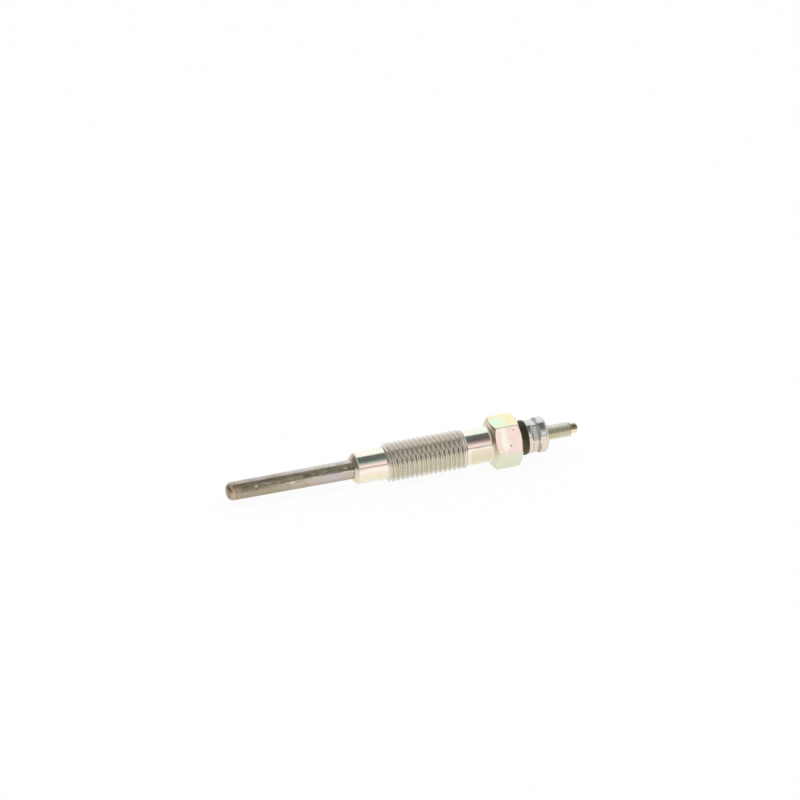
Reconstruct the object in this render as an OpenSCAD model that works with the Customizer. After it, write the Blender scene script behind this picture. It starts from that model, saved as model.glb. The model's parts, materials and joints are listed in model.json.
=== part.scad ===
// Diesel glow plug with a screw-in shell, lying on a flat of its hexagon.
// Every piece is turned about Z, with zero at the front end of the shell,
// the glow tube below and the terminal stud above; at_rest() then lays the plug down.

/* [Glow tube] */
// Outside diameter of the glow tube
tube_d = 5; // [4:0.1:6]
// Wall of the glow tube
tube_wall = 0.7; // [0.5:0.05:0.9]
// Length of the glow tube ahead of the shell
tube_reach = 33; // [28:0.5:45]
// Length of the glow tube pressed into the shell
tube_grip = 17; // [12:0.5:22]
// Radius of the tip's shoulder
tip_round = 1.6; // [0.8:0.1:2]
// Thickness of the welded end of the tube
tip_wall = 1; // [0.7:0.1:2]
// Radius of the inner corner at the welded end
tip_inner_round = 0.4; // [0.2:0.05:0.5]

/* [Coils] */
// Diameter of the coil wire
wire_d = 0.4; // [0.3:0.02:0.46]
// Powder left between the coils and the tube
coil_cover = 0.5; // [0.42:0.02:0.6]
// Turns of the heating coil in the tip
heating_turns = 9; // [5:1:12]
// Pitch of the heating coil
heating_pitch = 1; // [0.7:0.05:1.2]
// Turns of the control coil behind it
control_turns = 16; // [8:1:20]
// Pitch of the control coil
control_pitch = 0.75; // [0.6:0.05:0.95]
// Turns of the control coil that grip the stud's pin
pin_turns = 3; // [2:1:5]
// Straight wire at each end of a coil
lead_len = 0.8; // [0.6:0.05:1.2]
// Radius of the bend from a lead into the first turn
lead_bend = 0.5; // [0.4:0.05:0.6]
// Powder web between the two coils
web_len = 1; // [0.6:0.1:1.1]
// Room left in the powder round the wire
wire_room = 0.05; // [0.03:0.01:0.1]

/* [Shell] */
// Diameter of the pilot ahead of the thread
pilot_d = 8.2; // [7.4:0.1:8.4]
// Diameter of the small end of the conical seat
nose_d = 6.2; // [5.9:0.1:6.8]
// Half angle of the conical seat
seat_angle = 45; // [30:1:60]
// Chamfer at the mouth of the shell's bore
mouth_chamfer = 0.3; // [0.1:0.05:0.4]
// Length from the front end to the thread
pilot_len = 8.6; // [6:0.1:16]
// Outside diameter of the thread
thread_d = 10; // [9.5:0.1:11]
// Pitch of the thread
thread_pitch = 1.25; // [1:0.25:1.5]
// Length of the thread
thread_len = 21.2; // [14:0.1:30]
// Diameter of the shank behind the thread
shank_d = 9.1; // [8.4:0.1:9.4]
// Length of the shank
shank_len = 7.1; // [4:0.1:14]
// Diameter of the bore round the stud
stud_bore_d = 5.6; // [5.2:0.1:6]
// Length of wide bore left free behind the glow tube
bore_run_out = 1; // [0.5:0.1:2]
// Fillet at the foot of the hexagon
foot_fillet = 0.9; // [0.2:0.1:1.1]

/* [Hexagon] */
// Width across the flats
hex_af = 12; // [11:0.1:14]
// Length of the hexagon
hex_len = 7.3; // [7:0.1:12]
// Width of the turned chamfers inside the flats
hex_face_cut = 0.3; // [0.1:0.05:0.6]
// Slope of the turned chamfers on the corners
hex_chamfer_angle = 30; // [15:1:40]

/* [Insulation] */
// Diameter of the counterbore in the hexagon
counterbore_d = 7.2; // [6.6:0.1:8]
// Depth of the counterbore
counterbore_depth = 5; // [4.2:0.1:6]
// Squeeze of the O-ring in its gland
oring_squeeze = 0.2; // [0.05:0.05:0.3]
// Diameter of the insulating bush's flange
bush_d = 9; // [8.4:0.1:10]
// Thickness of the insulating bush's flange
bush_flange = 2.15; // [1.5:0.05:3]
// Rounding of the flange's edges
bush_round = 0.4; // [0.1:0.05:0.6]
// Length of the seal in the rear end of the glow tube
seal_len = 3; // [2:0.1:4]

/* [Crimp ring] */
// Diameter of the flange on the bush
ring_flange_d = 8.7; // [8.4:0.1:9.2]
// Thickness of the flange on the bush
ring_flange_len = 0.85; // [0.6:0.05:1]
// Diameter of the outer collar
ring_d = 9.2; // [8.8:0.1:9.8]
// Length of the ring
ring_len = 5.4; // [4.6:0.05:7]
// Width across the crimped flats
crimp_af = 7.5; // [6.8:0.1:8]
// Length of the crimped flats
crimp_len = 1.2; // [0.8:0.1:1.8]
// Number of jaws that crimp the ring
crimp_jaws = 6; // [4:1:8]
// Slope of the crimp's shoulders
crimp_slope = 50; // [35:1:65]
// Turn of the crimped flats against the hexagon
crimp_turn = -8; // [-30:1:30]
// Chamfer at the outer end of the ring
ring_chamfer = 0.6; // [0.2:0.05:0.8]

/* [Terminal stud] */
// Outside diameter of the terminal thread
stud_d = 4; // [3.6:0.1:4.4]
// Pitch of the terminal thread
stud_pitch = 0.7; // [0.5:0.05:0.8]
// Length of the terminal thread beyond the crimp ring
stud_thread_len = 7; // [4:0.25:14]
// Diameter of the dog point
dog_d = 2.5; // [2:0.1:2.8]
// Length of the dog point
dog_len = 1.75; // [1.5:0.05:4]
// Chamfer at the end of the dog point
dog_chamfer = 0.4; // [0.1:0.05:0.6]
// Diameter of the plain shaft that carries the terminal thread
shaft_d = 3.5; // [3.2:0.05:3.6]
// Diameter of the stud inside the glow tube
neck_d = 2.4; // [2:0.1:2.7]

/* [Fits] */
// Clearance between pieces that fit in one another
fit_gap = 0.02; // [0.01:0.01:0.05]

/* [Hidden] */
$fn = 96;

// Facets of the wire, round its section, along one turn and along one bend
wire_sides = 8;
turn_steps = 16;
bend_steps = 4;

// Depth of a metric thread for a pitch of 1
thread_depth = 0.6134;
hex_sides = 6;
half_turn = 180;
// How far a cutting shape runs past the face that it cuts
cut_over = 1;

// Radii of the shell
tube_r = tube_d / 2;
pilot_r = pilot_d / 2;
nose_r = nose_d / 2;
thread_r = thread_d / 2;
thread_cut = thread_depth * thread_pitch;
shank_r = shank_d / 2;
counterbore_r = counterbore_d / 2;

// Stations along the axis, from the front end of the shell
seat_len = (pilot_r - nose_r) / tan(seat_angle);
thread_start = pilot_len;
thread_end = thread_start + thread_len;
hex_front = thread_end + shank_len;
hex_rear = hex_front + hex_len;
gland_floor = hex_rear - counterbore_depth;
ring_front = hex_rear + bush_flange;
ring_rear = ring_front + ring_len;
stud_thread_end = ring_rear + stud_thread_len;
stud_end = stud_thread_end + dog_len;

// Inside of the glow tube
tube_bore_r = tube_r - tube_wall;
tube_front = -tube_reach;
fill_front = tube_front + tip_wall;
seal_front = tube_grip - seal_len;
wire_r = wire_d / 2;
coil_r = tube_bore_r - coil_cover - wire_r;
pocket_r = coil_r + wire_r + wire_room;
core_r = coil_r - wire_r - wire_room;
pin_r = coil_r - wire_r - fit_gap;
neck_r = neck_d / 2;

// Route of a coil's wire with the cylinder of the coil unrolled: a lead along the axis,
// a bend, the turns as one slanting line, and the same bend and lead the other way round
function helix_angle(pitch) = atan(2 * PI * coil_r / pitch);
function coil_start(pitch) = concat(
    [[0, 0]],
    [for (i = [0:bend_steps])
        let (a = helix_angle(pitch) * i / bend_steps)
        [lead_bend * (1 - cos(a)), lead_len + lead_bend * sin(a)]]
);
function coil_span(pitch, turns) = [2 * PI * coil_r * turns, pitch * turns];
function coil_total(pitch, turns) =
    let (start = coil_start(pitch))
    2 * start[len(start) - 1] + coil_span(pitch, turns);
function coil_route(pitch, turns) =
    let (start = coil_start(pitch))
    let (last = len(start) - 1)
    let (steps = turns * turn_steps)
    concat(
        start,
        [for (i = [1:steps - 1]) start[last] + coil_span(pitch, turns) * i / steps],
        [for (i = [last:-1:0]) coil_total(pitch, turns) - start[i]]
    );
function turned(arc) = arc / coil_r * half_turn / PI;

// Places of the coils along the axis
heating_total = coil_total(heating_pitch, heating_turns);
control_total = coil_total(control_pitch, control_turns);
coil_joint = fill_front + heating_total.y;
joint_angle = turned(heating_total.x);
control_end = coil_joint + control_total.y;
pin_front = control_end - lead_len - pin_turns * control_pitch;
pin_rear = control_end + web_len;

// Terminal side
stud_r = stud_d / 2;
stud_cut = thread_depth * stud_pitch;
shaft_r = shaft_d / 2;
shaft_front = tube_grip + bore_run_out;
dog_r = dog_d / 2;
bush_r = bush_d / 2;
gland_width = counterbore_r - shaft_r;
oring_cord = gland_width + oring_squeeze;
oring_len = gland_width;
oring_mid_r = (counterbore_r + shaft_r) / 2;
ring_r = ring_d / 2;
ring_flange_r = ring_flange_d / 2;
crimp_r = crimp_af / 2;
flat_front = ring_front + ring_flange_len + (ring_flange_r - crimp_r) / tan(crimp_slope);
flat_rear = flat_front + crimp_len;

// Rest: the front edge of a flat and the lowest point ahead of it touch the floor
hex_apothem = hex_af / 2;
hex_face_r = hex_apothem - hex_face_cut;
hex_edge = hex_front + hex_face_cut * tan(hex_chamfer_angle);
foot_r = min(foot_fillet, hex_face_r - shank_r);
rest_points = [
    [tube_front + tip_round, tube_r],
    [seat_len, pilot_r],
    [thread_start + thread_cut, thread_r]
];
rest_tilt = min([for (p = rest_points) atan((hex_apothem - p.y) / (hex_edge - p.x))]);
rest_lift = hex_apothem * cos(rest_tilt) - hex_edge * sin(rest_tilt);
rest_low_x = (tube_front + tip_round) * cos(rest_tilt) - (tube_r - tip_round) * sin(rest_tilt) - tip_round;
rest_high_x = stud_end * cos(rest_tilt) + (dog_r - dog_chamfer) * sin(rest_tilt);
rest_mid_x = (rest_low_x + rest_high_x) / 2;

module at_rest() {
    translate([-rest_mid_x, 0, rest_lift])
        rotate([0, 90 - rest_tilt, 0])
            children();
}

// Plain cylinder between two stations
module bar(r, from, to) {
    translate([0, 0, from]) cylinder(r = r, h = to - from);
}

// Ring between two radii and two stations
module sleeve(inner_r, outer_r, from, to) {
    rotate_extrude()
        translate([inner_r, from])
            square([outer_r - inner_r, to - from]);
}

// Round bar with a flat end and a rounded shoulder, closed at its lower end
module round_ended_bar(r, shoulder, from, to) {
    rotate_extrude() {
        translate([0, from + shoulder])
            square([r, to - from - shoulder]);
        translate([0, from])
            square([r - shoulder, shoulder]);
        intersection() {
            translate([r - shoulder, from + shoulder])
                circle(r = shoulder);
            translate([0, from])
                square([r, shoulder]);
        }
    }
}

// Outside of the shell as it is turned, with the thread as its outer cylinder
module turned_outside() {
    rotate_extrude()
        polygon([
            [0, 0],
            [nose_r, 0],
            [pilot_r, seat_len],
            [pilot_r, thread_start],
            [thread_r - thread_cut, thread_start],
            [thread_r, thread_start + thread_cut],
            [thread_r, thread_end - (thread_r - shank_r)],
            [shank_r, thread_end],
            [shank_r, hex_front + cut_over],
            [0, hex_front + cut_over]
        ]);
}

// Concave fillet between the shank and the hexagon
module hexagon_foot() {
    rotate_extrude()
        difference() {
            translate([0, hex_front - foot_r])
                square([shank_r + foot_r, foot_r + cut_over]);
            translate([shank_r + foot_r, hex_front - foot_r])
                circle(r = foot_r);
        }
}

// Hexagon with both ends turned to a chamfer
module hexagon() {
    corner_r = hex_apothem / cos(half_turn / hex_sides);
    turned_r = corner_r + cut_over;
    chamfer_len = (turned_r - hex_face_r) * tan(hex_chamfer_angle);
    intersection() {
        translate([0, 0, hex_front])
            rotate(half_turn / hex_sides)
                cylinder(r = corner_r, h = hex_len, $fn = hex_sides);
        rotate_extrude()
            polygon([
                [0, hex_front],
                [hex_face_r, hex_front],
                [turned_r, hex_front + chamfer_len],
                [turned_r, hex_rear - chamfer_len],
                [hex_face_r, hex_rear],
                [0, hex_rear]
            ]);
    }
}

module body_shell() {
    color([0.74, 0.68, 0.42])
        difference() {
            union() {
                turned_outside();
                hexagon_foot();
                hexagon();
            }
            bar(tube_r + fit_gap, -cut_over, tube_grip + bore_run_out);
            bar(stud_bore_d / 2, tube_grip, hex_rear);
            bar(counterbore_r, gland_floor, hex_rear + cut_over);
            translate([0, 0, -fit_gap])
                cylinder(r1 = tube_r + mouth_chamfer + fit_gap, r2 = tube_r, h = mouth_chamfer + fit_gap);
        }
}

module glow_tube() {
    color([0.46, 0.41, 0.37])
        difference() {
            round_ended_bar(tube_r, tip_round, tube_front, tube_grip);
            round_ended_bar(tube_bore_r, tip_inner_round, fill_front, tube_grip + cut_over);
        }
}

// Wire swept along a coil's route, with its rings square to the wire
module coil(pitch, turns) {
    route = coil_route(pitch, turns);
    last = len(route) - 1;
    rings = [for (i = [0:last])
        let (here = route[i])
        let (step = route[min(i + 1, last)] - route[max(i - 1, 0)])
        let (way = step / norm(step))
        let (angle = turned(here.x))
        let (out = [cos(angle), sin(angle), 0])
        let (along = [-sin(angle) * way.x, cos(angle) * way.x, way.y])
        let (side = cross(along, out))
        for (k = [0:wire_sides - 1])
            let (a = 2 * half_turn * k / wire_sides)
            coil_r * out + [0, 0, here.y] + wire_r * (cos(a) * out + sin(a) * side)
    ];
    walls = [for (i = [0:last - 1], k = [0:wire_sides - 1])
        let (next = (k + 1) % wire_sides)
        [i * wire_sides + k, (i + 1) * wire_sides + k,
         (i + 1) * wire_sides + next, i * wire_sides + next]
    ];
    front = [for (k = [0:wire_sides - 1]) k];
    rear = [for (k = [wire_sides - 1:-1:0]) last * wire_sides + k];
    polyhedron(points = rings, faces = concat([front], walls, [rear]));
}

module heating_coil() {
    color([0.62, 0.55, 0.47])
        translate([0, 0, fill_front])
            coil(heating_pitch, heating_turns);
}

module control_coil() {
    color([0.70, 0.69, 0.66])
        translate([0, 0, coil_joint])
            rotate(joint_angle)
                coil(control_pitch, control_turns);
}

// Packed powder with a pocket for each coil, a web between them and room for the stud
module insulating_powder() {
    color([0.93, 0.91, 0.86])
        difference() {
            round_ended_bar(tube_bore_r - fit_gap, tip_inner_round, fill_front, seal_front);
            sleeve(core_r, pocket_r, fill_front - cut_over, coil_joint - web_len / 2);
            sleeve(core_r, pocket_r, coil_joint + web_len / 2, control_end + wire_room);
            rotate(joint_angle)
                translate([coil_r, 0, coil_joint - web_len])
                    cylinder(r = wire_r + wire_room / 2, h = 2 * web_len);
            bar(pin_r + fit_gap, pin_front - wire_room, pin_rear + cut_over);
            bar(neck_r + fit_gap, pin_rear - wire_room, seal_front + cut_over);
        }
}

module tube_seal() {
    color([0.36, 0.22, 0.17])
        sleeve(neck_r + fit_gap, tube_bore_r - fit_gap, seal_front, tube_grip);
}

// Stud turned in one piece: pin, neck, shaft, terminal thread and dog point
module terminal_stud() {
    color([0.66, 0.66, 0.58])
        rotate_extrude()
            polygon([
                [0, pin_front],
                [pin_r, pin_front],
                [pin_r, pin_rear],
                [neck_r, pin_rear],
                [neck_r, shaft_front],
                [shaft_r, shaft_front],
                [shaft_r, ring_rear],
                [stud_r, ring_rear + stud_r - shaft_r],
                [stud_r, stud_thread_end - stud_cut],
                [stud_r - stud_cut, stud_thread_end],
                [dog_r, stud_thread_end],
                [dog_r, stud_end - dog_chamfer],
                [dog_r - dog_chamfer, stud_end],
                [0, stud_end]
            ]);
}

// O-ring squeezed flat where it meets the stud, the gland and the bush
module o_ring() {
    color([0.08, 0.08, 0.08])
        rotate_extrude()
            translate([oring_mid_r, gland_floor + oring_len / 2])
                intersection() {
                    circle(d = oring_cord);
                    square([gland_width - 2 * fit_gap, oring_len], center = true);
                }
}

// Bush with a sleeve in the counterbore and a round-edged flange on the hexagon
module insulating_bush() {
    color([0.10, 0.10, 0.09])
        rotate_extrude()
            difference() {
                union() {
                    translate([0, gland_floor + oring_len])
                        square([counterbore_r - fit_gap, hex_rear - gland_floor - oring_len]);
                    translate([0, hex_rear])
                        square([bush_r - bush_round, bush_flange]);
                    translate([0, hex_rear + bush_round])
                        square([bush_r, bush_flange - 2 * bush_round]);
                    for (edge = [hex_rear + bush_round, ring_front - bush_round])
                        translate([bush_r - bush_round, edge])
                            circle(r = bush_round);
                }
                translate([0, gland_floor])
                    square([stud_r + fit_gap, counterbore_depth + bush_flange]);
            }
}

// Jaw that presses one flat with sloping shoulders into the ring
module crimp_jaw() {
    reach = ring_r + cut_over;
    run_out = (reach - crimp_r) / tan(crimp_slope);
    rotate([90, 0, 0])
        linear_extrude(height = ring_d, center = true)
            polygon([
                [crimp_r, flat_front],
                [crimp_r, flat_rear],
                [reach, flat_rear + run_out],
                [reach, flat_front - run_out]
            ]);
}

// Round ring squeezed on to the stud by jaws, between a flange and a chamfered collar
module crimp_ring() {
    color([0.78, 0.77, 0.74])
        difference() {
            rotate_extrude()
                polygon([
                    [shaft_r + fit_gap, ring_front],
                    [ring_flange_r, ring_front],
                    [ring_flange_r, flat_front],
                    [ring_r, flat_rear],
                    [ring_r, ring_rear - ring_chamfer],
                    [ring_r - ring_chamfer, ring_rear],
                    [shaft_r + fit_gap, ring_rear]
                ]);
            for (i = [0:crimp_jaws - 1])
                rotate(crimp_turn + 2 * half_turn * i / crimp_jaws)
                    crimp_jaw();
        }
}

at_rest() body_shell();
at_rest() glow_tube();
at_rest() heating_coil();
at_rest() control_coil();
at_rest() insulating_powder();
at_rest() tube_seal();
at_rest() terminal_stud();
at_rest() o_ring();
at_rest() insulating_bush();
at_rest() crimp_ring();
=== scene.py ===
"""Dresses the diesel glow plug: threads, eased edges, plating and heat tints over its solids.

Lengths are in metres. Each new piece is a surface in the plug's own coordinates, which the record's
mounts place in the frame: a station runs along the axis from the shell's front end towards the terminal,
a radius is measured from the axis, and an angle turns from straight down towards the far side.
"""
import json
import math

import bpy
import numpy as np
from mathutils import Matrix, Vector


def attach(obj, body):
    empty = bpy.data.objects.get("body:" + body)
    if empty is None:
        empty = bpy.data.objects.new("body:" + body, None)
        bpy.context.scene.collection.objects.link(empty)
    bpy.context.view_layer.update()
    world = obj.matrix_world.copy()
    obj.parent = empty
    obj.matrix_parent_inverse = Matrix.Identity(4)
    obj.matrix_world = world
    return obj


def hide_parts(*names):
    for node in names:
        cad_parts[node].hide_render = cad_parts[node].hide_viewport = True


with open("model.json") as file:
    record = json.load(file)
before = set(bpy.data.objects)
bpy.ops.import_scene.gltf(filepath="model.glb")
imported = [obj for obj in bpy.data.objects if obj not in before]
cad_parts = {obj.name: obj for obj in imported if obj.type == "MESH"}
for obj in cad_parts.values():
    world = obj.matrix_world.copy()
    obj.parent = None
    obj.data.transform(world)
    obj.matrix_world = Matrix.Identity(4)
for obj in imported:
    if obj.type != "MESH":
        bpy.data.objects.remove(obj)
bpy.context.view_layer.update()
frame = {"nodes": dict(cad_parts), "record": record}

bl_info = {
    "name": "Diesel glow plug",
    "version": (1, 0, 0),
    "blender": (4, 5, 0),
    "location": "View3D > Sidebar > Glow plug",
    "description": "Builds the visual model of a diesel glow plug over its CAD solids",
    "category": "Object",
}

MM = 0.001
MOUNTS = {mount["name"]: mount for mount in frame["record"]["mounts"]}

# Share of the pitch between the crest and the root of a metric outside thread
THREAD_DEPTH = 0.6134
# Half widths of the crest and of the thread at its root, in pitches
CREST_EDGE = 1 / 16
ROOT_EDGE = 5 / 12
# Places across one pitch where the thread has a row of points, from the crest's middle
THREAD_ROWS = (0.02, 0.0325, 0.0625, 0.0925, 0.105, 0.24, 0.375, 0.3867, 0.4167, 0.4467, 0.5)
# How far the ends of a thread's flanks are rounded, in pitches
FLANK_SOFT = 0.03
# Sides of the hexagon and jaws of the ring
SIDES = 6
# Steps in which a corner is eased
EASE_STEPS = 5
# Columns of points for each of the six sides
COLUMNS = {"shell": 28, "sheath": 16, "stud": 12, "bush": 20, "ring": 24}
# How strongly the columns gather at a hexagon's corners
GATHER = 1.7
# Faces that meet at more than this angle keep a sharp edge
SHARP = math.radians(50)

# Noise: cells in a millimetre, stretch along the axis, aside and up, and detail
EVEN = (1, 1, 1)
PLATE_CLOUD = (0.2, (0.8, 1, 1), 2)
PLATE_FINE = (0.9, (0.5, 1, 1), 4)
PLATE_FILM = (0.42, (1, 0.5, 0.5), 3)
PLATE_DUST = (1.6, EVEN, 2)
PLATE_GRAIN = (5, EVEN, 3)
SHANK_WAVES = (0.5, (1.2, 0.6, 0.6), 1)
TURNING_MARKS = (9, (1, 0.06, 0.06), 2)
TUBE_CLOUD = (0.22, (0.5, 1, 1), 3)
TUBE_FINE = (1.4, (0.4, 1, 1), 4)
TUBE_MOTTLE = (0.55, (0.5, 1, 1), 4)
TUBE_FLECKS = (2.2, (0.6, 1, 1), 2)
DRAWING_MARKS = (7, (0.3, 1, 1), 2)
BUSH_CLOUD = (0.6, EVEN, 3)
BUSH_GRAIN = (6, EVEN, 3)
RING_CLOUD = (0.5, EVEN, 3)
RING_FINE = (2.5, EVEN, 3)
JAW_MARKS = (6, (1, 0.3, 0.3), 2)
STUD_CLOUD = (0.7, EVEN, 3)
FINE_GRAIN = (3, EVEN, 3)
POWDER_GRAIN = (8, EVEN, 4)
RUBBER_GRAIN = (4, EVEN, 3)
# The range in which most values of a noise lie
COMMON_NOISE = (0.3, 0.7)
# How far clouds shift the tints of the bush and the ring
CLOUD_SWAY = 0.8 * MM

# Marks: middle in millimetres along the axis, to the far side and up, radius and stretch
GREEN_BLOOM = ((39.1, -0.6, 6.0), 3.1, (1, 0.7, 1))
CREAM_STREAK = ((39.3, -4.9, 3.5), 1.2, (1, 0.22, 0.22))
PITS = (((42.1, -4.05, 5.0), 0.34), ((40.83, -6.0, 1.63), 0.4))
BLUE_TINT = ((-6.2, -2.4, 0.2), 5.0, (0.8, 3.5, 3.5))
PALE_FLECKS = (((-16.3, -2.4, 0.7), 0.7, (0.7, 1.6, 1.6)), ((-25.7, -2.1, 1.3), 0.42))
DARK_FLECK = ((-25.6, -2.4, 0.7), 0.5)
# Share of a mark's radius that has its full strength
SPOT_CORE = 0.3
# How far the edge of the green bloom is frayed, as a share of its strength
BLOOM_FRAY = 0.15

# Tints by how far a face looks up, from 0 for straight down to 1 for straight up. On the plating the
# colours are the film's own, but where they lie by facing is painted sheen
TURNED_SHEEN_TINTS = (
    (0.0, "cream"), (0.14, "cream"), (0.28, "straw"), (0.5, "peach"), (0.62, "cream"), (0.68, "cream"),
    (0.71, "pink"), (0.82, "pink"), (0.88, "mint"), (0.95, "mint"), (0.98, "cream"),
)
FLAT_SHEEN_TINTS = (
    (0.0, "straw"), (0.18, "khaki"), (0.36, "khaki"), (0.5, "straw"), (0.64, "pink"), (0.86, "pink"),
    (0.94, "yellow"),
)
# On the tube the bands by facing are painted light over the heat tints: painted shade below, a painted
# highlight line, a dark painted reflection band and a painted highlight along the top
TUBE_TINTS = (
    (0.0, "tube_underside_shade"), (0.25, "tube_underside_shade"), (0.5, "tube"), (0.62, "tube"), (0.665, "tube_highlight"),
    (0.72, "tube_dark"), (0.79, "tube_dark"), (0.85, "tube_olive"), (0.95, "tube_olive"),
    (0.985, "tube_top_highlight"),
)
# Shares of the tints that lie over others, where they are strongest; brown, crease and ring are painted
# shade, smoke is partly painted shade
SHARE = {
    "film": 0.4, "brown": 0.75, "thread": 0.9, "dust": 0.6, "specks": 0.65, "stain": 0.65, "blue": 0.8,
    "scale": 0.8, "smoke": 0.85, "patches": 0.6, "mottle": 0.5, "tip": 0.8, "tip_end": 0.6, "crease": 0.4,
    "flecks": 0.7, "ring": 0.75, "stud": 0.15, "wire": 0.7,
}
# How much rougher the shell's thread is, and how weakly the bush mirrors
THREAD_ROUGHER = 0.09
BUSH_SPECULAR = 0.2

# Studio walls: a place on a scale and the share of the studio's light, or OPEN for the dark opening
OPEN = None
# By the angle over the front horizon in degrees, round the plug and at the terminal's end
HALF_TURN = 180
FRONT_WALLS = (
    (15, 1), (18, 0.3), (22, 0.3), (25, 1), (36, 1), (43, 0.7), (52, 0.4), (60, 0.22), (68, OPEN),
    (107, OPEN), (112, 1),
)
TERMINAL_WALLS = ((0, OPEN), (44, OPEN), (56, 1), (95, 1), (110, 0.5), (180, 0.5))
# By height, of the plain wall towards the heater and of the heater's end
HEATER_WALL = ((0, 0.9), (1, 0.55))
HEATER_END = ((0, 0.5), (0.15, 0.25), (0.5, 0.25), (0.8, 0.6))
# How the walls give way to each end, by the share of a direction that lies along the plug
TERMINAL_SHARE = ((0.4, 0), (0.54, 1))
HEATER_SHARE = ((0.4, 0), (0.75, 1))
CLOSING = 0.15


# Properties
def length(name, description, mm):
    """A length, given in millimetres and kept in metres."""
    return bpy.props.FloatProperty(
        name=name, description=description, default=mm * MM, unit="LENGTH", precision=5
    )


def angle(name, description, degrees):
    """An angle, given in degrees and kept in radians."""
    return bpy.props.FloatProperty(
        name=name, description=description, default=math.radians(degrees), unit="ROTATION"
    )


def amount(name, description, value):
    """A plain share or strength."""
    return bpy.props.FloatProperty(name=name, description=description, default=value, precision=3)


def colour(name, description, red, green, blue):
    """A colour in linear light."""
    return bpy.props.FloatVectorProperty(
        name=name,
        description=description,
        default=(red, green, blue),
        subtype="COLOR",
        min=0,
        max=1,
    )


class ShellSizes(bpy.types.PropertyGroup):
    nose_r: length("Nose radius", "Radius of the shell's front end", 3.1)
    mouth: length("Mouth chamfer", "Chamfer of the hole at the front end", 0.3)
    pilot_r: length("Pilot radius", "Radius of the plain pilot behind the conical seat", 4.1)
    pilot_len: length("Pilot length", "From the front end to the start of the thread", 8.6)
    seat_len: length("Seat length", "Length of the conical seat along the axis", 1.0)
    pitch: length("Thread pitch", "Pitch of the M10 thread", 1.25)
    thread_end: length("Thread end", "Station where the thread has come down to the shank", 29.8)
    run_out: length("Thread run-out", "Length over which the thread's root rises to its crest", 1.3)
    run_smooth: length("Plain end", "Plain length at full diameter behind the run-out", 0.35)
    shank_r: length("Shank radius", "Radius of the plain shank between thread and hexagon", 4.55)
    hex_front: length("Hexagon front", "Station of the hexagon's front face", 36.9)
    hex_rear: length("Hexagon rear", "Station of the hexagon's rear face", 44.2)
    hex_apothem: length("Half across flats", "Half the hexagon's width across flats", 6.0)
    hex_rounding: length("Corner rounding", "Radius of the hexagon's six long edges", 0.22)
    hex_face_r: length("Face radius", "Radius of both turned end faces inside the chamfers", 5.7)
    chamfer: angle("Chamfer angle", "Angle of the hexagon's turned chamfers to its end faces", 30)
    foot: length("Foot fillet", "Fillet between the shank and the hexagon", 0.9)
    tube_bore_r: length("Tube bore radius", "Radius of the bore that grips the heater tube", 2.52)
    stud_bore_r: length("Stud bore radius", "Radius of the clearance bore round the stud", 2.8)
    gland_r: length("Gland radius", "Radius of the counterbore for the O-ring and the bush", 3.6)
    grip_len: length("Grip length", "From the front end to the rear end of the heater tube", 17.0)
    gland_floor: length("Gland floor", "Station of the counterbore's floor", 39.2)
    ease: length("Eased edges", "How far the plated edges are rounded", 0.12)


class SheathSizes(bpy.types.PropertyGroup):
    outer_r: length("Outside radius", "Outside radius of the heater tube", 2.5)
    wall: length("Wall", "Thickness of the heater tube's wall", 0.7)
    reach: length("Reach", "From the shell's front end to the tip", 33.0)
    shoulder: length("Tip rounding", "Radius of the tip's rounded shoulder", 1.6)
    end_wall: length("End wall", "Thickness of the closed end", 1.0)
    inner_corner: length("Inner corner", "Radius of the corner inside the closed end", 0.4)
    crease_at: length("Crease", "From the tip to the faint ring that closing the tube leaves", 2.1)
    crease_depth: length("Crease depth", "Depth of that ring", 0.035)
    crease_half: length("Crease half width", "Half the width of that ring", 0.16)
    taper: length("Taper", "How much the radius shrinks from the shell to the tip", 0.15)


class StudSizes(bpy.types.PropertyGroup):
    pin_front: length("Pin end", "From the shell's front end forward to the end of the pin", 8.866)
    pin_rear: length("Pin root", "From the shell's front end forward to the root of the pin", 4.816)
    pin_r: length("Pin radius", "Radius of the pin that carries the coil", 0.88)
    neck_r: length("Neck radius", "Radius of the stud inside the tube's seal", 1.2)
    neck_end: length("Neck end", "Station where the shaft begins", 18.0)
    shaft_r: length("Shaft radius", "Radius of the plain shaft", 1.75)
    thread_r: length("Thread radius", "Outside radius of the M4 terminal thread", 2.0)
    pitch: length("Thread pitch", "Pitch of the M4 terminal thread", 0.7)
    thread_front: length("Thread front", "Station where the thread leaves the crimped ring", 51.75)
    thread_rear: length("Thread rear", "Station where the thread has come down to its root", 58.75)
    dog_r: length("Dog radius", "Radius of the plain dog point", 1.25)
    end: length("Stud end", "Station of the stud's end face", 60.5)
    dog_chamfer: length("Dog chamfer", "Chamfer of the dog point", 0.4)
    ease: length("Eased edges", "How far the edges are rounded", 0.06)


class BushSizes(bpy.types.PropertyGroup):
    hole_r: length("Hole radius", "Radius of the hole for the stud", 2.02)
    sleeve_r: length("Sleeve radius", "Radius of the sleeve in the counterbore", 3.58)
    sleeve_front: length("Sleeve front", "Station of the sleeve's front end", 41.05)
    flange_r: length("Flange radius", "Radius of the flange that shows", 4.5)
    flange_front: length("Flange front", "Station of the flange's front face", 44.2)
    flange_rear: length("Flange rear", "Station of the flange's rear face", 46.35)
    rounding: length("Edge rounding", "Rounding of the flange's edges", 0.4)


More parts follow.
